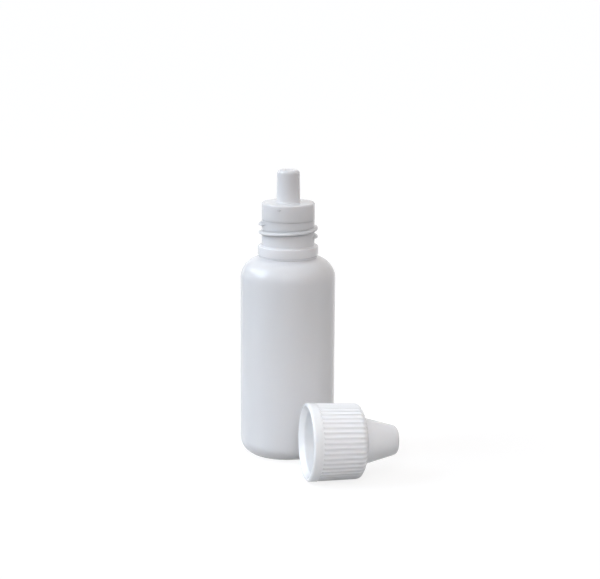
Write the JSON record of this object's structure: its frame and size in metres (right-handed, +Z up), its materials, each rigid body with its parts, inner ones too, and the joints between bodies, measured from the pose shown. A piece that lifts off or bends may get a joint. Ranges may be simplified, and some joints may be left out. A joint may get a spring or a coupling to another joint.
{
  "type": "eye drop bottle",
  "caption": "Round squeeze bottle with a press-in dropper nozzle on its threaded neck, and a ribbed screw cap with a tapered nose lying beside it.",
  "frame": {"origin": "centre of the bottle's base, on the surface that the bottle and the cap stand on", "axes": "+Z up the bottle's axis; +X along the lying cap, from its mouth towards its nose; the cap lies on the -Y side of the bottle"},
  "size_m": [0.0333, 0.046, 0.071],
  "materials": {
    "blown_bottle": "satin",
    "moulded_plug": "satin",
    "moulded_cap": "satin"
  },
  "bodies": {
    "bottle": {"bottle": "blown_bottle"},
    "dropper_plug": {"dropper_plug": "moulded_plug"},
    "cap": {"cap": "moulded_cap"}
  },
  "joints": [
    {"name": "plug_pull", "type": "slide", "parent": "bottle", "child": "dropper_plug", "axis": [0, 0, 1], "range_m": [0, 0.012]},
    {"name": "cap_lift", "type": "hinge", "parent": "bottle", "child": "cap", "pos_m": [-0.03629, -0.02286, 0.05313], "axis": [0.2896, -0.9146, 0.2821], "range_deg": [0, 96.6]}
  ]
}
